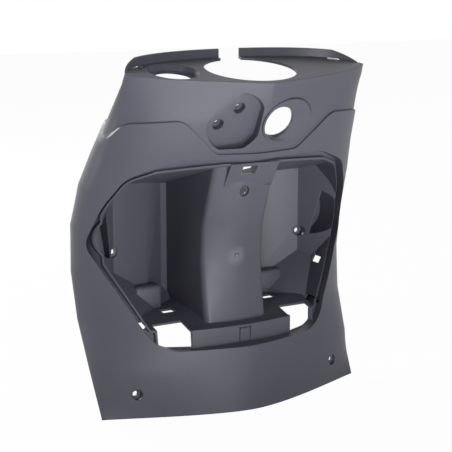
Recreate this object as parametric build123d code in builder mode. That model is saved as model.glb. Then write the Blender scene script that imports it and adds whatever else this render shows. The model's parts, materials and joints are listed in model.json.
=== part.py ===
from build123d import *
from collections import namedtuple
from math import atan, cos, radians, sin, tan
import os

# A moulded leg shield for a small scooter, in millimetres. X runs across the shield, +Y points
# forwards (away from the rider) and +Z up. The outside is a loft of plan sections. The upper
# panel is sunk a little below it, a plate with the steering cut-out closes the top, and the
# large mouth leads into a tub that wraps round the steering column. All sizes are counted from
# the middle of the bottom edge. The finished part is moved so that its origin lies midway
# between the two lower screw holes, which hold it.

# Walls
wall = 2.6
half = 0.5

# Plan sections: nose depth, half width of the flat nose, shoulder control point, free edge
Station = namedtuple("Station", "height nose flat shoulder edge")
stations = [
    Station(0, 0, 52, (150, 46), (176, 54)),
    Station(55, 6, 42, (186, 49), (179, 82)),
    Station(110, 9, 42, (183, 60), (182, 107)),
    Station(165, 12, 44, (192, 62), (183, 121)),
    Station(220, 18, 40, (215, 52), (179, 129)),
    Station(270, 18, 34, (227, 28), (169, 123)),
    Station(310, -5, 26, (223, 12), (158, 107)),
    Station(350, -23, 20, (211, -6), (152, 79)),
    Station(391, -41, 10, (192, 2), (155, 32)),
    Station(418, -53, 8, (184, 0), (154, 16)),
]
reach = 240
past_edge = 10

# Outlines seen from the front: a corner across, a corner up and the radius there
Corner = namedtuple("Corner", "across up radius")

# Mouth of the tub, its gutter and the lip inside that
mouth_top = Corner(0, 299.5, 400)
mouth_side = [
    Corner(109.7, 76.8, 42),
    Corner(178.5, 200.6, 30),
    Corner(166, 249, 80),
    Corner(146, 284, 30),
    Corner(92, 304.5, 80),
]
gutter_depth = 12
lip_inset = 8
lip_depth = 8

# Upper panel, sunk behind the lower one
bib_depth = 2.4
bib_foot = [
    Corner(172, 318, 0),
    Corner(155, 347.5, 14),
    Corner(98, 350.5, 22),
    Corner(53, 309, 18),
]
bib_low = 307.5

# Tub: ceiling, floor, walls in plan and the corners cut off below
ceiling_front = (25, 290)
ceiling_back = (125, 262)
shelf_front = (40, 98)
shelf_back = (83, 108.5)
tub_plan = [(180, 52.5), (130, 116), (80, 127), (50, 150)]
tub_reach = 170
kerb_middle = 26
kerb_end = (67, 33)
trench_half = 107
facet_point = (140, 92, 142)
facet_normal = (0.51, 0.605, -0.607)

# Side pocket, seen from the front
pocket_upper = (150, 237)
pocket_lower = (140, 180)
pocket_side = (166, 208)
pocket_back = 118

# Column that the tub wraps round: height, depth in the middle and depth at its corners
Rib = namedtuple("Rib", "height middle corner")
column_half = 42
column_round = 8
column_ribs = [
    Rib(60, 40, 42),
    Rib(95, 43, 46.5),
    Rib(139, 47, 55),
    Rib(175, 47.7, 59),
    Rib(215, 41, 55),
    Rib(262, 28, 37),
    Rib(295, 16, 24),
    Rib(330, 3, 11),
]

# Top plate, square to the steering column
plate_tilt = 12
plate_centre = (0, 16, 402.5)
plate_wall = 2.8
plate_far = 68
plate_far_flat = 90
plate_lap = 14
plate_corner = (14, 16)
rim_height = 9.5
rim_wall = 2.4
rim_start = 24
rim_full = 46
front_round = 4

# Steering cut-out
steering_width = 111
steering_depth = 94
slit_width = 28

steering_drop = 8

# Dished hole beside it
dish_across = -97
dish_along = 3
dish_radius = 22.5
dish_funnel = 26
dish_rim_radius = 29.5
dish_depth = 6.5

# Key-lock hole in the upper panel, square to it
key_centre = (20.6, -17, 341)
key_rake = 24
key_radius = 20
key_collar = 9

# Recess for the bag hook: a circle cut straight below and on its right, with a raked floor
hook_centre = (-36, 346)
hook_radius = 34
hook_side = -6
hook_foot = 315
hook_floor_low = (8, 315)
hook_floor_high = (-25, 375)

# Hinge windows at the foot of the mouth
window_near = 68
window_far = 107
window_low = 78
window_high = 106
window_back = 62

# Slot for the latch of the tub's lid
latch_width = 19
latch_height = 10.7
latch_up = 285
latch_back = 40

# Screw places: across, up, seat radius, hole radius and the depth of the seat's floor
Screw = namedtuple("Screw", "across up seat hole floor")
screws = [
    Screw(136.4, 28, 6.5, 3.3, 47),
    Screw(-136.4, 28, 6.5, 3.3, 47),
    Screw(130.4, 182.8, 6.5, 3, 119),
    Screw(-130.4, 182.8, 6.5, 3, 119),
    Screw(0, 259, 6.5, 4.5, 33),
]
screw_floor_wall = 3
top_screw_across = 130.9
top_screw_along = 25.9
top_screw_seat = 8
top_screw_hole = 3
top_screw_depth = 2.5


def left_normals(points):
    """Unit normals on the left of each leg of a line of points."""
    legs = [(end - start).normalized() for start, end in zip(points, points[1:])]
    return [Vector(-leg.Y, leg.X) for leg in legs]


def mitre(corner, before, after, inset):
    """A corner moved by the inset from both of its legs."""
    return corner + (before + after) * (inset / (1 + before.dot(after)))


def plan_net(station, inset):
    """Control points of the right half of a section, moved in from the outside by the inset."""
    net = [
        Vector(0, station.nose),
        Vector(station.flat, station.nose),
        Vector(*station.shoulder),
        Vector(*station.edge),
    ]
    inward = left_normals(net)
    moved = [
        net[0] + inward[0] * inset,
        mitre(net[1], inward[0], inward[1], inset),
        mitre(net[2], inward[1], inward[2], inset),
        net[3] + inward[2] * inset,
    ]
    return [(point.X, point.Y) for point in moved]


def strip_form(near, far):
    """A wall between two insets from the outside, over the whole height."""
    with BuildPart() as strip:
        for station in stations:
            outer = plan_net(station, near)
            inner = plan_net(station, far)
            with BuildSketch(Plane.XY.offset(station.height)):
                with BuildLine():
                    Bezier(*outer)
                    Line(outer[3], inner[3])
                    Bezier(*inner)
                    mirror(about=Plane.YZ)
                make_face()
        loft(ruled=True)
    return strip.part


def front_form(inset):
    """Everything in front of the surface at one inset, run on a little past the free edges."""
    with BuildPart() as front:
        for station in stations:
            net = plan_net(station, inset)
            run = (Vector(*net[3]) - Vector(*net[2])).normalized() * past_edge
            end = (net[3][0] + run.X, net[3][1] + run.Y)
            with BuildSketch(Plane.XY.offset(station.height)):
                with BuildLine():
                    Bezier(*net)
                    Polyline(net[3], end, (reach, end[1]), (reach, -reach), (0, -reach))
                    mirror(about=Plane.YZ)
                make_face()
        loft(ruled=True)
    return front.part


def solid_form(inset):
    """Everything behind the surface at one inset, as far back as the free edges."""
    with BuildPart() as body:
        for station in stations:
            net = plan_net(station, inset)
            with BuildSketch(Plane.XY.offset(station.height)):
                with BuildLine():
                    Bezier(*net)
                    Line(net[3], (0, net[3][1]))
                    mirror(about=Plane.YZ)
                make_face()
        loft(ruled=True)
    return body.part


def mouth_form(inset):
    """The mouth's outline, moved inwards by the inset, run right through the shield."""
    mirrored = [Corner(-corner.across, corner.up, corner.radius) for corner in reversed(mouth_side)]
    corners = [*mouth_side, mouth_top, *mirrored]
    points = [Vector(corner.across, corner.up) for corner in corners]
    inward = left_normals([points[-1], *points, points[0]])
    moved = []
    radii = []
    for corner, point, before, after in zip(corners, points, inward, inward[1:]):
        turn = before.X * after.Y - before.Y * after.X
        place = mitre(point, before, after, inset)
        moved.append((place.X, place.Y))
        radii.append(corner.radius - inset if turn > 0 else corner.radius + inset)
    with BuildPart() as mouth:
        with BuildSketch(Plane.XZ):
            with BuildLine():
                FilletPolyline(*moved, radius=radii, close=True)
            make_face()
        extrude(amount=reach, both=True)
    return mouth.part



def bib_form(inset):
    """The upper panel's outline, moved inwards by the inset, run right through the shield."""
    foot = [Vector(corner.across, corner.up) for corner in bib_foot]
    foot.append(Vector(0, bib_low))
    inward = left_normals([Vector(reach, bib_foot[0].up), *foot])
    half_line = [(reach, reach * 2), (reach, bib_foot[0].up - inset)]
    radii = [0, 0]
    for corner, point, before, after in zip(bib_foot, foot, inward, inward[1:]):
        place = mitre(point, before, after, -inset)
        turn = before.X * after.Y - before.Y * after.X
        half_line.append((place.X, place.Y))
        radii.append(max(corner.radius + inset if turn > 0 else corner.radius - inset, 0))
    low = bib_low + inset
    mirrored = [(-x, z) for x, z in reversed(half_line)]
    line = [*half_line, (0, low), *mirrored]
    with BuildPart() as bib:
        with BuildSketch(Plane.XZ):
            with BuildLine():
                FilletPolyline(*line, radius=[*radii, 0, *reversed(radii)], close=True)
            make_face()
        extrude(amount=reach, both=True)
    return bib.part


def plan_form(corners, inset, low, high):
    """A closed outline in plan, moved inwards by the inset, between two heights."""
    points = [Vector(*corner) for corner in corners]
    inward = left_normals([points[-1], *points, points[0]])
    moved = []
    for point, before, after in zip(points, inward, inward[1:]):
        place = mitre(point, before, after, inset)
        moved.append((place.X, place.Y))
    with BuildPart() as block:
        with BuildSketch(Plane.XY.offset(low)):
            with BuildLine():
                Polyline(*moved, close=True)
            make_face()
        extrude(amount=high - low)
    return block.part


def column_form(inset):
    """The steering column's cover, moved inwards by the inset and open at the back."""
    side = column_half - inset
    with BuildPart() as column:
        for rib in column_ribs:
            with BuildSketch(Plane.XY.offset(rib.height)) as section:
                with BuildLine():
                    ThreePointArc(
                        (side, rib.corner + inset), (0, rib.middle + inset), (-side, rib.corner + inset)
                    )
                    Polyline(
                        (-side, rib.corner + inset),
                        (-side, reach),
                        (side, reach),
                        (side, rib.corner + inset),
                    )
                make_face()
                front_corners = section.vertices().sort_by(Axis.Y)[0:2]
                fillet(front_corners, column_round - inset)
        loft(ruled=True)
    return column.part


def profile_form(outline):
    """A profile seen from the side, run right across the shield."""
    with BuildPart() as profile:
        with BuildSketch(Plane.YZ):
            with BuildLine():
                Polyline(*outline, close=True)
            make_face()
        extrude(amount=reach, both=True)
    return profile.part


def pocket_form(grow):
    """The D-shaped pocket in both side walls of the tub, grown by a wall where asked."""
    upper = Vector(*pocket_upper)
    lower = Vector(*pocket_lower)
    across = (upper - lower).normalized()
    out = Vector(across.Y, -across.X)
    start = lower - across * grow - out * grow
    end = upper + across * grow - out * grow
    crown = Vector(*pocket_side) + out * grow
    with BuildPart() as pocket:
        with BuildSketch(Plane.XZ.offset(-pocket_back - grow)):
            with BuildLine():
                ThreePointArc((start.X, start.Y), (crown.X, crown.Y), (end.X, end.Y))
                Line((end.X, end.Y), (start.X, start.Y))
            make_face()
        extrude(amount=reach)
        mirror(about=Plane.YZ)
    return pocket.part


def tub_form(grow):
    """The room inside the tub, grown by the wall for its outside."""
    inner_half = [(tub_plan[0][0], -reach), *tub_plan]
    ring = [*inner_half, *[(-x, y) for x, y in reversed(inner_half)]]
    walls = plan_form(ring, -grow, 0, reach * 2)
    slope = (ceiling_back[1] - ceiling_front[1]) / (ceiling_back[0] - ceiling_front[0])
    rise = (shelf_back[1] - shelf_front[1]) / (shelf_back[0] - shelf_front[0])
    ceiling = ceiling_front[1] + grow / cos(atan(slope))
    shelf = shelf_front[1] - grow
    sides = profile_form(
        [
            (-reach, shelf),
            (shelf_front[0], shelf),
            (shelf_back[0], shelf_back[1] - grow),
            (reach, shelf_back[1] - grow),
            (reach, ceiling + slope * (reach - ceiling_front[0])),
            (-reach, ceiling - slope * (reach + ceiling_front[0])),
        ]
    )
    with BuildPart() as tub:
        add(mouth_form(lip_inset - grow))
        add(walls, mode=Mode.INTERSECT)
        add(sides, mode=Mode.INTERSECT)
        facet = Plane(origin=facet_point, z_dir=facet_normal).offset(grow)
        split(bisect_by=facet, keep=Keep.BOTTOM)
        other = Plane(
            origin=(-facet_point[0], facet_point[1], facet_point[2]),
            z_dir=(-facet_normal[0], facet_normal[1], facet_normal[2]),
        ).offset(grow)
        split(bisect_by=other, keep=Keep.BOTTOM)
        add(column_form(grow), mode=Mode.SUBTRACT)
        add(pocket_form(grow))
    return tub.part


def trench_form(grow):
    """The space between the foot of the mouth and the kerb, grown by the wall for its outside."""
    with BuildPart() as trench:
        with BuildSketch(Plane.XY.offset(0)):
            with BuildLine():
                kerb = ThreePointArc(
                    (kerb_end[0], kerb_end[1] + grow), (0, kerb_middle + grow), (-kerb_end[0], kerb_end[1] + grow)
                )
                far = trench_half + grow
                end_y = kerb_end[1] + grow + (far - kerb_end[0]) * 0.45
                Polyline(
                    kerb @ 1, (-far, end_y), (-far, -reach), (far, -reach), (far, end_y), kerb @ 0
                )
            make_face()
        extrude(amount=shelf_front[1])
        add(mouth_form(-grow), mode=Mode.INTERSECT)
    return trench.part




plate_plane = Plane(
    origin=plate_centre, x_dir=(1, 0, 0), z_dir=(0, -sin(radians(plate_tilt)), cos(radians(plate_tilt)))
)
key_plane = Plane(
    origin=key_centre, x_dir=(1, 0, 0), z_dir=(0, -cos(radians(key_rake)), -sin(radians(key_rake)))
)


def plate_height(along):
    """Height of the top plate's upper face at a depth."""
    return plate_centre[2] + tan(radians(plate_tilt)) * (along - plate_centre[1])


def plate_back_form(inset):
    """The far half of the top plate's outline, moved in by the inset, as a tall block."""
    far = plate_far - inset
    side = stations[-1].edge[0] - inset
    with BuildPart() as block:
        with BuildSketch(Plane.XY.offset(plate_centre[2] / 2)):
            with BuildLine():
                Bezier(
                    (0, far),
                    (plate_far_flat, far),
                    (side - plate_corner[0], far - plate_corner[1]),
                    (side, rim_start),
                )
                Line((side, rim_start), (0, rim_start - plate_lap))
                mirror(about=Plane.YZ)
            make_face()
        extrude(amount=reach)
    return block.part


def hook_form(grow):
    """The recess for the bag hook, grown by a wall for its outside."""
    slope = (hook_floor_high[0] - hook_floor_low[0]) / (hook_floor_high[1] - hook_floor_low[1])
    with BuildPart() as recess:
        with BuildSketch(Plane.XZ):
            with Locations(hook_centre):
                Circle(hook_radius + grow)
            with Locations((hook_side + grow, hook_foot - grow)):
                Rectangle(reach, reach, align=(Align.MAX, Align.MIN), mode=Mode.INTERSECT)
        extrude(amount=reach, both=True)
        with BuildSketch(Plane.YZ):
            with BuildLine():
                Polyline(
                    (-reach, 0),
                    (hook_floor_low[0] + grow - slope * hook_floor_low[1], 0),
                    (hook_floor_low[0] + grow + slope * (reach * 2 - hook_floor_low[1]), reach * 2),
                    (-reach, reach * 2),
                    close=True,
                )
            make_face()
        extrude(amount=reach, both=True, mode=Mode.INTERSECT)
    return recess.part


with BuildPart() as gutter:
    add(strip_form(wall * half, gutter_depth + wall))
    add(mouth_form(-wall), mode=Mode.INTERSECT)

with BuildPart() as gutter_room:
    add(front_form(gutter_depth))
    add(mouth_form(0), mode=Mode.INTERSECT)

with BuildPart() as bib:
    add(strip_form(wall * half, bib_depth + wall))
    add(bib_form(-wall), mode=Mode.INTERSECT)

with BuildPart() as bib_room:
    add(front_form(bib_depth))
    add(bib_form(0), mode=Mode.INTERSECT)

with BuildPart() as over_plate:
    with BuildSketch(plate_plane):
        Rectangle(reach * 2, reach * 2)
    extrude(amount=reach)

# Outside of the tub, cut back to its lip
with BuildPart() as tub:
    add([tub_form(wall), trench_form(wall)])
    add(front_form(lip_depth), mode=Mode.SUBTRACT)

# Walls of the hook recess
with BuildPart() as hook_walls:
    add(hook_form(wall))
    add(front_form(bib_depth + wall * half), mode=Mode.SUBTRACT)

# Bosses behind the screw seats
with BuildPart() as bosses:
    for screw in screws:
        with BuildSketch(Plane.XZ.offset(-screw.floor - screw_floor_wall)):
            with Locations((screw.across, screw.up)):
                Circle(screw.seat + wall)
        extrude(amount=reach)
    add(front_form(wall * half), mode=Mode.SUBTRACT)

# Top plate
with BuildPart() as top_plate:
    add([solid_form(bib_depth + wall * half), plate_back_form(0)])
    with BuildSketch(plate_plane.offset(-plate_wall)):
        Rectangle(reach * 2, reach * 2)
    extrude(amount=plate_wall, mode=Mode.INTERSECT)

# Rim that rises from the plate behind the steering head
with BuildPart() as rim:
    add(plate_back_form(0))
    add(plate_back_form(rim_wall), mode=Mode.SUBTRACT)
    with BuildSketch(Plane.YZ):
        with BuildLine():
            Polyline(
                (rim_start, plate_height(rim_start) - plate_wall * half),
                (rim_start, plate_height(rim_start)),
                (rim_full, plate_height(rim_full) + rim_height),
                (plate_far + rim_wall, plate_height(plate_far + rim_wall) + rim_height),
                (plate_far + rim_wall, plate_height(plate_far + rim_wall) - plate_wall * half),
                close=True,
            )
        make_face()
    extrude(amount=reach, both=True, mode=Mode.INTERSECT)

# Walls round the key-lock hole, the dished hole and the seats of the top screws
with BuildPart() as collars:
    with BuildSketch(key_plane.offset(-bib_depth)):
        Circle(key_radius + wall)
    extrude(amount=-key_collar)
    with BuildSketch(plate_plane.offset(-plate_wall * half)):
        with Locations((dish_across, dish_along)):
            Circle(dish_rim_radius + wall)
    with BuildSketch(plate_plane.offset(-dish_depth - wall)):
        with Locations((dish_across, dish_along)):
            Circle(dish_funnel + wall)
    loft()
    with BuildSketch(plate_plane.offset(-top_screw_depth - wall)):
        with Locations((top_screw_across, top_screw_along), (-top_screw_across, top_screw_along)):
            Circle(top_screw_seat + wall)
    extrude(amount=top_screw_depth)

# Everything that is open in the finished shield
with BuildPart() as openings:
    add([tub_form(0), trench_form(0), hook_form(0)])
    with BuildSketch(key_plane.offset(key_collar)):
        Circle(key_radius)
    extrude(amount=-key_collar * 3)
    with BuildSketch(plate_plane.offset(-steering_drop)):
        Ellipse(steering_width / 2, steering_depth / 2)
        with Locations((0, plate_far * half)):
            Rectangle(slit_width, plate_far)
    extrude(amount=steering_drop + rim_height * 2)
    with BuildSketch(plate_plane.offset(-dish_depth)):
        with Locations((dish_across, dish_along)):
            Circle(dish_funnel)
    with BuildSketch(plate_plane):
        with Locations((dish_across, dish_along)):
            Circle(dish_rim_radius)
    loft()
    with BuildSketch(plate_plane):
        with Locations((dish_across, dish_along)):
            Circle(dish_radius)
    extrude(amount=-dish_depth * 3)
    for screw in screws:
        with BuildSketch(Plane.XZ.offset(-screw.floor)):
            with Locations((screw.across, screw.up)):
                Circle(screw.seat)
        extrude(amount=reach)
        with BuildSketch(Plane.XZ.offset(-screw.floor - screw_floor_wall)):
            with Locations((screw.across, screw.up)):
                Circle(screw.hole)
        extrude(amount=reach)
    for radius, depth in ((top_screw_seat, top_screw_depth), (top_screw_hole, top_screw_depth * 3)):
        with BuildSketch(plate_plane):
            with Locations((top_screw_across, top_screw_along), (-top_screw_across, top_screw_along)):
                Circle(radius)
        extrude(amount=-depth)
    with BuildSketch(Plane.XZ.offset(-latch_back)):
        with Locations((0, latch_up)):
            Rectangle(latch_width, latch_height)
    extrude(amount=latch_back)

# Hinge windows at the foot of the mouth
with BuildPart() as windows:
    with BuildSketch(Plane.XZ.offset(-window_back)):
        with Locations(
            ((window_near + window_far) / 2, (window_low + window_high) / 2),
            (-(window_near + window_far) / 2, (window_low + window_high) / 2),
        ):
            Rectangle(window_far - window_near, window_high - window_low)
    extrude(amount=window_back)
    add(mouth_form(0), mode=Mode.INTERSECT)

with BuildPart() as leg_shield:
    add(strip_form(0, wall))
    add([gutter.part, bib.part])
    add([bib_room.part, gutter_room.part, over_plate.part], mode=Mode.SUBTRACT)
    add([tub.part, hook_walls.part, bosses.part, top_plate.part, rim.part, collars.part])
    add([openings.part, windows.part], mode=Mode.SUBTRACT)

leg_shield.part.position = (0, -screws[0].floor - screw_floor_wall * half, -screws[0].up)
leg_shield.part.label = "leg_shield"
os.makedirs("parts", exist_ok=True)
export_step(leg_shield.part, "parts/leg_shield.step")
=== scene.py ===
"""Looks of a moulded scooter leg shield: one piece of black, fine-grained plastic."""

import json
import logging
import math
from collections.abc import Iterator
from contextlib import contextmanager
from dataclasses import dataclass, field
from enum import Enum

import bpy
from mathutils import Matrix, Vector

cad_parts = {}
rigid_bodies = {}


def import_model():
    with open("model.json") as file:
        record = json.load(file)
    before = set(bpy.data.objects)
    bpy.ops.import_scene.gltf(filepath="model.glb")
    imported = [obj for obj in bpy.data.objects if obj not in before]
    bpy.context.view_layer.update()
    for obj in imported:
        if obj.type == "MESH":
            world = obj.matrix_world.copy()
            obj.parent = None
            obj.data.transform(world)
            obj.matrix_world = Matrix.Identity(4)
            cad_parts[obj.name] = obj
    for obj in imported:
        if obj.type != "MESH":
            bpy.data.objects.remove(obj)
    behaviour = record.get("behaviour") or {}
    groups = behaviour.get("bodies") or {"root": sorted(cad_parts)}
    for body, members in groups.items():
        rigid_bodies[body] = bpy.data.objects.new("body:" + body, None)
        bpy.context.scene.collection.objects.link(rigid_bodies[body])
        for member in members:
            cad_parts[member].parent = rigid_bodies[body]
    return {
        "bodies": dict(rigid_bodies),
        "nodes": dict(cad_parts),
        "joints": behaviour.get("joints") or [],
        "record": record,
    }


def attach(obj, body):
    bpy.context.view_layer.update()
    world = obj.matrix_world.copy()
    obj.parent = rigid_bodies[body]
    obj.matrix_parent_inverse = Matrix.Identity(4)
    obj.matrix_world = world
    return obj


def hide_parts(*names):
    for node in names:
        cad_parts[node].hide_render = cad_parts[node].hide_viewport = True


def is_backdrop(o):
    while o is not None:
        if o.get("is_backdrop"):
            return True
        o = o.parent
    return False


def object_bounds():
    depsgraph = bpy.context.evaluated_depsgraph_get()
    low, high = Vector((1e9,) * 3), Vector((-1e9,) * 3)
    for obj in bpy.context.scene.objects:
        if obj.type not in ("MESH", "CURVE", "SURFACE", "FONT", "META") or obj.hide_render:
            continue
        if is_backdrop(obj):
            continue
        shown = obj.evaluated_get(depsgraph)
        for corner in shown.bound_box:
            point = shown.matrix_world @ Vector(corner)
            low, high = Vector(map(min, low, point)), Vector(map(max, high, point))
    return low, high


Pair = tuple[float, float]
Point = tuple[float, float, float]
Colour = tuple[float, float, float, float]

LOG = logging.getLogger("leg_shield")
MM = 0.001
LOOKING_RAYS = ("Camera", "Glossy", "Transmission")
WHITE: Colour = (1.0, 1.0, 1.0, 1.0)
ROUND_SIDES = 48
EDGE_SEGMENTS = 4
GATE: Point = (0.0, 47.7, 178.0)


class Socket:
    """A shader value that builds its Math nodes as Python expressions are written."""

    def __init__(self, net: "Network", link: bpy.types.NodeSocket) -> None:
        """Wraps one output.

        Args:
            net: The network that owns the node.
            link: The output that is read.
        """
        self.net = net
        self.link = link

    def _math(self, operation: str, *values: object) -> "Socket":
        """Adds one Math node.

        Args:
            operation: What the node works out.
            values: Its inputs in order, as numbers or sockets.

        Returns:
            The result.
        """
        return self.net.node("ShaderNodeMath", {"operation": operation}, dict(enumerate(values)))

    def __add__(self, other: object) -> "Socket":
        """Sum."""
        return self._math("ADD", self, other)

    def __mul__(self, other: object) -> "Socket":
        """Product."""
        return self._math("MULTIPLY", self, other)

    def __rsub__(self, other: object) -> "Socket":
        """Difference from a number on the left."""
        return self._math("SUBTRACT", other, self)

    def __truediv__(self, other: object) -> "Socket":
        """Quotient."""
        return self._math("DIVIDE", self, other)

    def at_least(self, other: object) -> "Socket":
        """The larger of the two."""
        return self._math("MAXIMUM", self, other)


class Network:
    """The nodes of a material or a world, made by one method."""

    def __init__(self, owner: bpy.types.ID) -> None:
        """Clears the owner's nodes.

        Args:
            owner: The material or the world.
        """
        owner.use_nodes = True
        self.tree = owner.node_tree
        self.tree.nodes.clear()

    def node(self, kind: str, settings: dict, values: dict, output: object = 0) -> Socket:
        """Adds a node.

        Args:
            kind: The node's type.
            settings: Properties that are set first.
            values: Numbers, colours or sockets by input name or index.
            output: The output that is handed back, by name or index.

        Returns:
            The chosen output.
        """
        made = self.tree.nodes.new(kind)
        for key, value in settings.items():
            setattr(made, key, value)
        for key, value in values.items():
            if isinstance(value, Socket):
                self.tree.links.new(value.link, made.inputs[key])
            else:
                made.inputs[key].default_value = value
        return Socket(self, made.outputs[output])

    def noise(self, place: Socket, scale: float, detail: float) -> Socket:
        """Noise between 0 and 1.

        Args:
            place: Coordinates.
            scale: Cells per metre.
            detail: Octaves.

        Returns:
            The noise value.
        """
        values = {"Vector": place, "Scale": scale, "Detail": detail}
        return self.node("ShaderNodeTexNoise", {}, values, "Fac")

    def mix(self, factor: Socket, first: object, second: object) -> Socket:
        """Mixes two colours.

        Args:
            factor: How much of the second shows.
            first: A colour or a socket.
            second: A colour or a socket.

        Returns:
            The mixed colour.
        """
        values = {0: factor, 6: first, 7: second}
        return self.node("ShaderNodeMix", {"data_type": "RGBA"}, values, 2)

    def ramp(self, factor: Socket, low: float, high: float) -> Socket:
        """A number that rises from 0 at low to 1 at high.

        Args:
            factor: What is read.
            low: Where the rise starts.
            high: Where it ends.

        Returns:
            The number.
        """
        risen = self.node("ShaderNodeValToRGB", {}, {"Fac": factor})
        for stop, place, grey in zip(risen.link.node.color_ramp.elements, (low, high), (0.0, 1.0)):
            stop.position = place
            stop.color = (grey, grey, grey, 1.0)
        return risen

    def rays_that_look(self) -> Socket:
        """Tells the rays that show the background as white.

        Returns:
            1 for camera, mirror and see-through rays, and 0 for all others.
        """
        paths = [self.node("ShaderNodeLightPath", {}, {}, f"Is {kind} Ray") for kind in LOOKING_RAYS]
        return paths[0].at_least(paths[1]).at_least(paths[2])

    def show(self, kind: str, shader: Socket) -> None:
        """Links a shader to the output.

        Args:
            kind: The output node's type.
            shader: The shader.
        """
        made = self.tree.nodes.new(kind)
        self.tree.links.new(shader.link, made.inputs["Surface"])


@dataclass(frozen=True)
class Origin:
    """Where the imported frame's origin lies, in millimetres from the middle of the bottom edge."""

    depth: float = 48.5
    up: float = 28.0

    def place(self, across: float, depth: float, up: float) -> Vector:
        """A place counted from the middle of the bottom edge.

        Args:
            across: Millimetres to the right.
            depth: Millimetres forwards, away from the rider.
            up: Millimetres upwards.

        Returns:
            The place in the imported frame, in metres.
        """
        return Vector((across, depth - self.depth, up - self.up)) * MM


ORIGIN = Origin()


@dataclass(frozen=True)
class GrainedPlastic:
    """Black polypropylene with a fine sparked grain and faint flow marks, with a painted highlight round
    the mould's gate.

    Each noise is given as cells per metre and octaves, and lengths are in metres.
    """

    name: str = "grained_black_plastic"
    dark: Colour = (0.056, 0.056, 0.073, 1.0)
    pale: Colour = (0.068, 0.068, 0.088, 1.0)
    # Paler colour mixed in round the gate mark: a painted highlight, not a mark in the plastic.
    gate_highlight: Colour = (0.17, 0.17, 0.20, 1.0)
    grain: Pair = (2600.0, 2.0)
    flow: Pair = (9.0, 3.0)
    speck: Pair = (700.0, 1.0)
    flow_share: float = 0.6
    speck_share: float = 0.4
    mottle: Pair = (0.35, 0.68)
    rough_low: float = 0.36
    rough_high: float = 0.44
    specular: float = 0.22
    grain_height: float = 0.00006
    grain_strength: float = 0.5
    edge_radius: float = 0.0015
    edge_samples: int = 4
    # Reach, core, strength and flow of the painted highlight round the gate mark.
    highlight_reach: float = 0.014
    highlight_core: float = 0.25
    highlight_strength: float = 0.7
    highlight_flow: float = 0.6
    highlight_base: float = 0.5

    def material(self) -> bpy.types.Material:
        """Builds the material.

        Returns:
            The finished material.
        """
        made = bpy.data.materials.new(self.name)
        net = Network(made)
        place = net.node("ShaderNodeTexCoord", {}, {}, "Object")
        grain = net.noise(place, *self.grain)
        flow = net.noise(place, *self.flow)
        speck = net.noise(place, *self.speck)
        blend = flow * self.flow_share + speck * self.speck_share
        colour = net.mix(net.ramp(blend, *self.mottle), self.dark, self.pale)
        # Painted highlight: the colour turns paler round the gate mark on the column, where the bulging
        # surface catches the light.
        gate = tuple(ORIGIN.place(*GATE))
        away = net.node("ShaderNodeVectorMath", {"operation": "DISTANCE"}, {0: place, 1: gate}, "Value")
        near = 1 - net.ramp(away / self.highlight_reach, self.highlight_core, 1.0)
        painted_highlight = near * (flow * self.highlight_flow + self.highlight_base)
        colour = net.mix(painted_highlight * self.highlight_strength, colour, self.gate_highlight)
        rough = flow * (self.rough_high - self.rough_low) + self.rough_low
        soft = net.node("ShaderNodeBevel", {"samples": self.edge_samples}, {"Radius": self.edge_radius})
        relief = {
            "Strength": self.grain_strength,
            "Distance": self.grain_height,
            "Height": grain,
            "Normal": soft,
        }
        values = {
            "Base Color": colour,
            "Roughness": rough,
            "Normal": net.node("ShaderNodeBump", {}, relief, "Normal"),
            "Specular IOR Level": self.specular,
        }
        shader = net.node("ShaderNodeBsdfPrincipled", {}, values, "BSDF")
        net.show("ShaderNodeOutputMaterial", shader)
        return made


class Join(Enum):
    """What a Boolean tool does to the moulding."""

    ADD = "UNION"
    CUT = "DIFFERENCE"


Steps = list[tuple[bpy.types.Object, Join]]


def select_only(piece: bpy.types.Object) -> None:
    """Deselects everything and makes one object active.

    Args:
        piece: The object.
    """
    bpy.ops.object.select_all(action="DESELECT")
    piece.select_set(True)
    bpy.context.view_layer.objects.active = piece


@contextmanager
def whole_mesh(piece: bpy.types.Object) -> Iterator[None]:
    """Opens an object in Edit Mode with all of its mesh selected, and closes it afterwards.

    Args:
        piece: The object.

    Yields:
        Nothing, while the mesh is open.
    """
    select_only(piece)
    bpy.ops.object.mode_set(mode="EDIT")
    bpy.ops.mesh.select_all(action="SELECT")
    yield
    bpy.ops.object.mode_set(mode="OBJECT")


def block_tool(low: Point, high: Point, edge: float = 0.0) -> bpy.types.Object:
    """A block between two corners, with its edges rounded if asked.

    Args:
        low: Across, depth and height of the lowest corner.
        high: The same for the highest corner.
        edge: Radius of its edges in millimetres.

    Returns:
        The block.
    """
    first, last = ORIGIN.place(*low), ORIGIN.place(*high)
    bpy.ops.object.select_all(action="DESELECT")
    bpy.ops.mesh.primitive_cube_add(size=1, location=(first + last) / 2)
    tool = bpy.context.active_object
    tool.scale = last - first
    bpy.ops.object.transform_apply(location=True, rotation=True, scale=True)
    if edge:
        with whole_mesh(tool):
            bpy.ops.mesh.bevel(offset=edge * MM, segments=EDGE_SEGMENTS, affect="EDGES")
    return tool


def both_sides(low: Point, high: Point) -> tuple[tuple[Point, Point], ...]:
    """A block's corners on the right and those of its mirror image on the left.

    Args:
        low: The lowest corner.
        high: The highest corner.

    Returns:
        Two pairs of corners.
    """
    return (low, high), ((-high[0], low[1], low[2]), (-low[0], high[1], high[2]))


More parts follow.
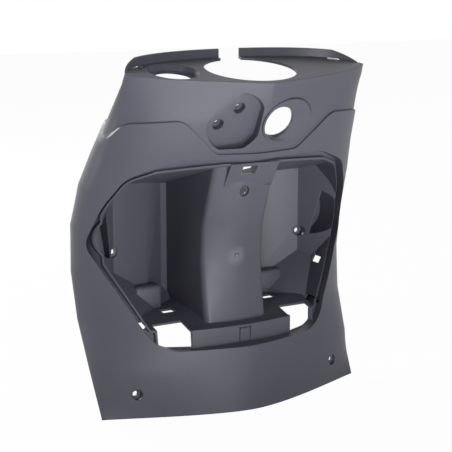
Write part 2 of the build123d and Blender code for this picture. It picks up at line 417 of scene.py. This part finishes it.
def round_tool(start: Vector, along: Vector, near: float, far: float, length: float) -> bpy.types.Object:
    """A round pin or cone.

    Args:
        start: Centre of its near end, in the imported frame.
        along: Its direction.
        near: Radius at the near end in millimetres.
        far: Radius at the far end in millimetres.
        length: Its length in millimetres.

    Returns:
        The pin.
    """
    way = along.normalized()
    bpy.ops.object.select_all(action="DESELECT")
    bpy.ops.mesh.primitive_cone_add(
        vertices=ROUND_SIDES,
        radius1=near * MM,
        radius2=far * MM,
        depth=length * MM,
        location=start + way * (length * MM / 2),
        rotation=way.to_track_quat("Z", "Y").to_euler(),
    )
    bpy.ops.object.transform_apply(location=True, rotation=True, scale=True)
    return bpy.context.active_object


def prism_tool(profile: tuple[Pair, ...], left: float, right: float) -> bpy.types.Object:
    """A profile seen from the side, run across the shield.

    Args:
        profile: Its corners in order round it, as depth and height in millimetres.
        left: Where it starts across the shield.
        right: Where it ends.

    Returns:
        The prism.
    """
    bpy.ops.object.select_all(action="DESELECT")
    bpy.ops.mesh.primitive_cylinder_add(vertices=len(profile), radius=MM, depth=MM)
    tool = bpy.context.active_object
    lower = [vertex for vertex in tool.data.vertices if vertex.co.z <= 0]
    upper = [vertex for vertex in tool.data.vertices if vertex.co.z > 0]
    for ring, across in ((lower, left), (upper, right)):
        ring.sort(key=lambda vertex: math.atan2(vertex.co.y, vertex.co.x))
        for vertex, (depth, up) in zip(ring, profile):
            vertex.co = ORIGIN.place(across, depth, up)
    with whole_mesh(tool):
        bpy.ops.mesh.normals_make_consistent(inside=False)
    return tool


@dataclass(frozen=True)
class HookScrews:
    """Two deep screw seats in the raked floor of the bag hook's recess."""

    places: tuple[Pair, ...] = ((-34.0, 362.5), (-56.0, 344.6))
    floor_depth: float = 8.0
    floor_up: float = 315.0
    rake: float = 0.55
    seat_radius: float = 6.6
    seat_depth: float = 6.5
    seat_taper: float = 0.4
    hole_radius: float = 3.0
    hole_length: float = 16.0
    lead: float = 1.0
    wall: float = 2.4

    def tools(self) -> Steps:
        """The bosses, seats and holes in the order in which they are used.

        Returns:
            Pairs of a tool and what it does.
        """
        inward = Vector((0, 1, self.rake)).normalized()
        boss, seat, hole = self.seat_radius + self.wall, self.seat_radius, self.hole_radius
        boss_length = self.seat_depth + self.wall / 2
        seat_ends = (seat + self.seat_taper, seat - self.seat_taper)
        made = []
        for across, up in self.places:
            floor = ORIGIN.place(across, self.floor_depth - self.rake * (up - self.floor_up), up)
            behind, before = floor + inward * (self.wall * MM / 2), floor - inward * self.lead * MM
            made += [
                (round_tool(behind, inward, boss, boss, boss_length), Join.ADD),
                (round_tool(before, inward, *seat_ends, self.seat_depth + self.lead), Join.CUT),
                (round_tool(before, inward, hole, hole, self.hole_length), Join.CUT),
            ]
        return made


@dataclass(frozen=True)
class KeyCrater:
    """The shallow funnel round the key-lock hole, wider on its right.

    A span gives the front and back of a part of the funnel, as shares of its depth.
    """

    centre: Point = (20.6, -17.0, 341.0)
    rake_deg: float = 24.0
    foot_radius: float = 20.3
    outer: Pair = (33.0, 27.5)
    outer_shift: Pair = (11.0, 2.5)
    depth: float = 5.0
    fall: float = 0.13
    wall: float = 2.4
    wall_span: Pair = (0.9, -0.1)
    cut_span: Pair = (1.6, 0.0)
    hole_radius: float = 20.0
    hole_length: float = 20.0
    lead: float = 4.0
    sides: int = 72

    def ring(self, grow: float, out: float) -> tuple[float, ...]:
        """Half sizes, middle and height of a section of the funnel.

        Args:
            grow: How far it is moved out all round.
            out: Its distance in front of the funnel's bottom, as a share of the depth.

        Returns:
            Half width, half height, middle across, middle up and distance out.
        """
        wide = self.foot_radius + (self.outer[0] - self.foot_radius) * out + grow
        tall = self.foot_radius + (self.outer[1] - self.foot_radius) * out + grow
        return wide, tall, self.outer_shift[0] * out, self.outer_shift[1] * out, self.depth * (out - 1)

    def funnel(self, grow: float, span: Pair, sink: float) -> bpy.types.Object:
        """The funnel between two of its sections.

        Args:
            grow: How far it is moved out all round.
            span: Shares of the depth at its front and at its back.
            sink: How far it is sunk into the panel, in millimetres.

        Returns:
            The funnel as a solid.
        """
        bpy.ops.object.select_all(action="DESELECT")
        bpy.ops.mesh.primitive_cylinder_add(vertices=self.sides, radius=1, depth=2)
        tool = bpy.context.active_object
        rake = math.radians(self.rake_deg)
        across, out = Vector((1, 0, 0)), Vector((0, -math.cos(rake), -math.sin(rake)))
        up = Vector((0, -math.sin(rake), math.cos(rake)))
        front, back = (self.ring(grow, share) for share in span)
        for vertex in tool.data.vertices:
            wide, tall, right, rise, away = front if vertex.co.z > 0 else back
            shift = right + wide * vertex.co.x
            lift = rise + tall * vertex.co.y
            height = away - sink - self.fall * shift
            vertex.co = ORIGIN.place(*self.centre) + (across * shift + up * lift + out * height) * MM
        return tool

    def tools(self) -> Steps:
        """The wall behind the funnel, the funnel and the hole through it.

        Returns:
            Pairs of a tool and what it does.
        """
        inward = Vector((0, math.cos(math.radians(self.rake_deg)), math.sin(math.radians(self.rake_deg))))
        start = ORIGIN.place(*self.centre) - inward * self.lead * MM
        hole = self.hole_radius
        return [
            (self.funnel(self.wall, self.wall_span, self.wall / 2), Join.ADD),
            (self.funnel(0.0, self.cut_span, 0.0), Join.CUT),
            (round_tool(start, inward, hole, hole, self.hole_length), Join.CUT),
        ]


@dataclass(frozen=True)
class KerbTab:
    """The U-shaped groove round a tab in the middle of the kerb."""

    half_width: float = 8.0
    foot: float = 72.0
    top: float = 95.0
    face: float = 26.1
    groove: float = 1.4
    lead: float = 4.0

    def tools(self) -> Steps:
        """The groove's three runs.

        Returns:
            Pairs of a tool and what it does.
        """
        near, far = self.face - self.lead, self.face + self.groove
        inner = self.half_width - self.groove
        runs = (
            ((-self.half_width, near, self.foot), (-inner, far, self.top)),
            ((inner, near, self.foot), (self.half_width, far, self.top)),
            ((-inner, near, self.top - self.groove), (inner, far, self.top)),
        )
        return [(block_tool(low, high), Join.CUT) for low, high in runs]


@dataclass(frozen=True)
class LatchPad:
    """The flat pad round the latch slot, where the column meets the lip."""

    profile: tuple[Pair, ...] = ((12.0, 294.5), (31.0, 264.0), (30.0, 292.0))
    left: float = -27.0
    right: float = 38.0
    slot: tuple[Point, Point] = ((-9.5, 5.0, 279.65), (9.5, 45.0, 290.35))

    def tools(self) -> Steps:
        """The pad and the slot cut through it again.

        Returns:
            Pairs of a tool and what it does.
        """
        pad = prism_tool(self.profile, self.left, self.right)
        return [(pad, Join.ADD), (block_tool(*self.slot), Join.CUT)]


@dataclass(frozen=True)
class TubBlocks:
    """The raised blocks low on the back wall of the tub, one each side."""

    low: Point = (68.0, 110.0, 104.0)
    high: Point = (104.0, 128.0, 137.0)
    edge: float = 5.0

    def tools(self) -> Steps:
        """Both blocks.

        Returns:
            Pairs of a tool and what it does.
        """
        return [(block_tool(*ends, self.edge), Join.ADD) for ends in both_sides(self.low, self.high)]


@dataclass(frozen=True)
class Slots:
    """Narrow slots through the tub: at the foot of its back wall, up its edges and beside the windows."""

    floor: tuple[Point, Point] = ((61.8, 85.0, 102.0), (79.2, 100.0, 110.5))
    edge: tuple[Point, Point] = ((139.0, 80.0, 144.5), (145.5, 96.0, 156.0))
    corner: tuple[Point, Point] = ((114.0, 55.0, 101.0), (126.0, 75.0, 109.5))

    def tools(self) -> Steps:
        """The slots on both sides.

        Returns:
            Pairs of a tool and what it does.
        """
        slots = (self.floor, self.edge, self.corner)
        return [(block_tool(*ends), Join.CUT) for slot in slots for ends in both_sides(*slot)]


@dataclass(frozen=True)
class GateMark:
    """The stub and ring that the mould's gate left on the column."""

    stub_radius: float = 2.3
    ring_radius: float = 3.6
    proud: float = 0.6
    sunk: float = 0.5
    lead: float = 2.0

    def tools(self) -> Steps:
        """The ring-shaped groove and the stub inside it.

        Returns:
            Pairs of a tool and what it does.
        """
        face = ORIGIN.place(*GATE)
        back = Vector((0, 1, 0))
        ring, stub = self.ring_radius, self.stub_radius
        before, above = face - back * self.lead * MM, face - back * self.proud * MM
        return [
            (round_tool(before, back, ring, ring, self.lead + self.sunk), Join.CUT),
            (round_tool(above, back, stub, stub, 2 * self.proud + self.sunk), Join.ADD),
        ]


@dataclass(frozen=True)
class MouldedShield:
    """The whole moulding, shown by a smooth-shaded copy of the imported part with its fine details."""

    node: str = "leg_shield"
    name: str = "shield_moulding"
    merge_m: float = 0.00002
    smooth_deg: float = 32.0
    plastic: GrainedPlastic = field(default_factory=GrainedPlastic)
    details: tuple = (
        HookScrews(), KeyCrater(), KerbTab(), LatchPad(), TubBlocks(), Slots(), GateMark()
    )

    def build(self, frame: dict) -> bpy.types.Object:
        """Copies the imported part, joins its loose triangles, adds the details and shades it.


        Returns:
            The moulding.
        """
        source = frame["nodes"][self.node]
        piece = bpy.data.objects.new(self.name, source.data.copy())
        bpy.context.scene.collection.objects.link(piece)
        with whole_mesh(piece):
            bpy.ops.mesh.remove_doubles(threshold=self.merge_m)
            bpy.ops.mesh.customdata_custom_splitnormals_clear()
        for detail in self.details:
            for tool, join in detail.tools():
                self.combine(piece, tool, join)
            LOG.info("added %s, now %d faces", type(detail).__name__, len(piece.data.polygons))
        select_only(piece)
        bpy.ops.object.shade_smooth_by_angle(angle=math.radians(self.smooth_deg))
        return piece

    def combine(self, piece: bpy.types.Object, tool: bpy.types.Object, join: Join) -> None:
        """Adds a tool to the moulding or cuts it away, and drops the tool.

        Args:
            piece: The moulding.
            tool: The tool.
            join: What is done with it.
        """
        select_only(piece)
        modifier = piece.modifiers.new(join.name, "BOOLEAN")
        modifier.operation = join.value
        modifier.solver = "EXACT"
        modifier.object = tool
        bpy.ops.object.modifier_apply(modifier=modifier.name)
        bpy.data.objects.remove(tool)

    def dress(self, piece: bpy.types.Object) -> None:
        """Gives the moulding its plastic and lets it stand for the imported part.

        Args:
            piece: The moulding.
        """
        piece.data.materials.clear()
        piece.data.materials.append(self.plastic.material())
        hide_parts(self.node)
        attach(piece, "root")


@dataclass(frozen=True)
class Lamp:
    """One soft square lamp, with its places and width in metres and its power in watts."""

    name: str
    place: Point
    aim: Point
    size: float
    watts: float

    def hang(self) -> None:
        """Adds the lamp to the scene."""
        data = bpy.data.lights.new(self.name, "AREA")
        data.shape = "SQUARE"
        data.size = self.size
        data.energy = self.watts
        lamp = bpy.data.objects.new(self.name, data)
        bpy.context.scene.collection.objects.link(lamp)
        lamp.location = self.place
        way = Vector(self.aim) - Vector(self.place)
        lamp.rotation_euler = way.to_track_quat("-Z", "Y").to_euler()


@dataclass(frozen=True)
class Studio:
    """Camera, lights, floor and world of a plain product photograph."""

    lens_mm: float = 100.14
    sensor_mm: float = 36.0
    place: Point = (-0.7316, -1.2719, 0.4886)
    turn_deg: float = 29.44
    tilt_deg: float = 11.66
    lamps: tuple[Lamp, ...] = (
        Lamp("table", place=(-0.05, -0.75, -0.015), aim=(-0.05, -0.75, 1.0), size=0.7, watts=12),
        Lamp("key", place=(-0.3, -2.5, 0.4), aim=(0, 0, 0.12), size=0.5, watts=42),
        Lamp("side", place=(-1.6, -0.95, 2.0), aim=(0, 0, 0.15), size=0.7, watts=10),
        Lamp("rim", place=(-2.4, 0.9, 0.7), aim=(-0.1, 0, 0.15), size=0.7, watts=32),
        Lamp("back", place=(-0.7, 2.3, 1.3), aim=(0, 0, 0.2), size=0.9, watts=60),
    )
    air: Colour = (0.8, 0.82, 0.85, 1.0)
    air_strength: float = 0.04
    floor_size: float = 12.0
    floor_drop: float = 0.0012
    floor_colour: Colour = (0.85, 0.85, 0.86, 1.0)
    floor_white: float = 0.97

    def camera(self) -> None:
        """Sets the camera at the place found from the photograph."""
        data = bpy.data.cameras.new("camera")
        data.lens = self.lens_mm
        data.sensor_width = self.sensor_mm
        camera = bpy.data.objects.new("camera", data)
        bpy.context.scene.collection.objects.link(camera)
        turn, tilt = math.radians(self.turn_deg), math.radians(self.tilt_deg)
        right = Vector((math.cos(turn), -math.sin(turn), 0.0))
        up = Vector((math.sin(turn) * math.sin(tilt), math.cos(turn) * math.sin(tilt), math.cos(tilt)))
        back = right.cross(up)
        basis = Matrix((right, up, back)).transposed().to_4x4()
        camera.matrix_world = Matrix.Translation(self.place) @ basis
        bpy.context.scene.camera = camera

    def lights(self) -> None:
        """A low front lamp, light off the table, a rim lamp on the left, a side and a back lamp."""
        for lamp in self.lamps:
            lamp.hang()

    def background(self) -> None:
        """A world that the camera and reflections see as white, and that lights the part faintly."""
        world = bpy.data.worlds.new("studio_world")
        bpy.context.scene.world = world
        net = Network(world)
        soft = net.node("ShaderNodeBackground", {}, {"Color": self.air, "Strength": self.air_strength})
        white = net.node("ShaderNodeBackground", {}, {"Color": WHITE, "Strength": 1.0})
        shader = net.node("ShaderNodeMixShader", {}, {0: net.rays_that_look(), 1: soft, 2: white})
        net.show("ShaderNodeOutputWorld", shader)

    def floor(self, low: float) -> None:
        """Lays a pale floor under the part.

        Args:
            low: The part's lowest point.
        """
        bpy.ops.object.select_all(action="DESELECT")
        bpy.ops.mesh.primitive_plane_add(size=self.floor_size, location=(0, 0, low - self.floor_drop))
        floor = bpy.context.active_object
        floor.name = "studio_floor"
        surface = bpy.data.materials.new("pale_floor")
        net = Network(surface)
        seen = net.rays_that_look() * self.floor_white
        white = net.node("ShaderNodeEmission", {}, {"Color": WHITE, "Strength": 1.0})
        matt = net.node("ShaderNodeBsdfDiffuse", {}, {"Color": self.floor_colour})
        shader = net.node("ShaderNodeMixShader", {}, {0: seen, 1: matt, 2: white})
        net.show("ShaderNodeOutputMaterial", shader)
        floor.data.materials.append(surface)
        floor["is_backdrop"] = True

    def view(self) -> None:
        """Sets the view transform."""
        bpy.context.scene.view_settings.view_transform = "Standard"


def box_numbers(bounds: object) -> list[list[float]]:
    """A box as plain lists of numbers.

    Args:
        bounds: Its lowest and highest corner.

    Returns:
        The same corners as lists.
    """
    return [[float(value) for value in corner] for corner in bounds]


def main() -> None:
    """Builds the scene in order and reports each piece."""
    logging.basicConfig(level=logging.INFO, format="%(message)s")
    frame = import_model()
    packed = box_numbers(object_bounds())
    studio = Studio()
    studio.camera()
    shield = MouldedShield()
    piece = shield.build(frame)
    shield.dress(piece)
    LOG.info("built %s", piece.name)
    studio.lights()
    studio.background()
    studio.floor(packed[0][2])
    studio.view()


if __name__ == "__main__":
    main()
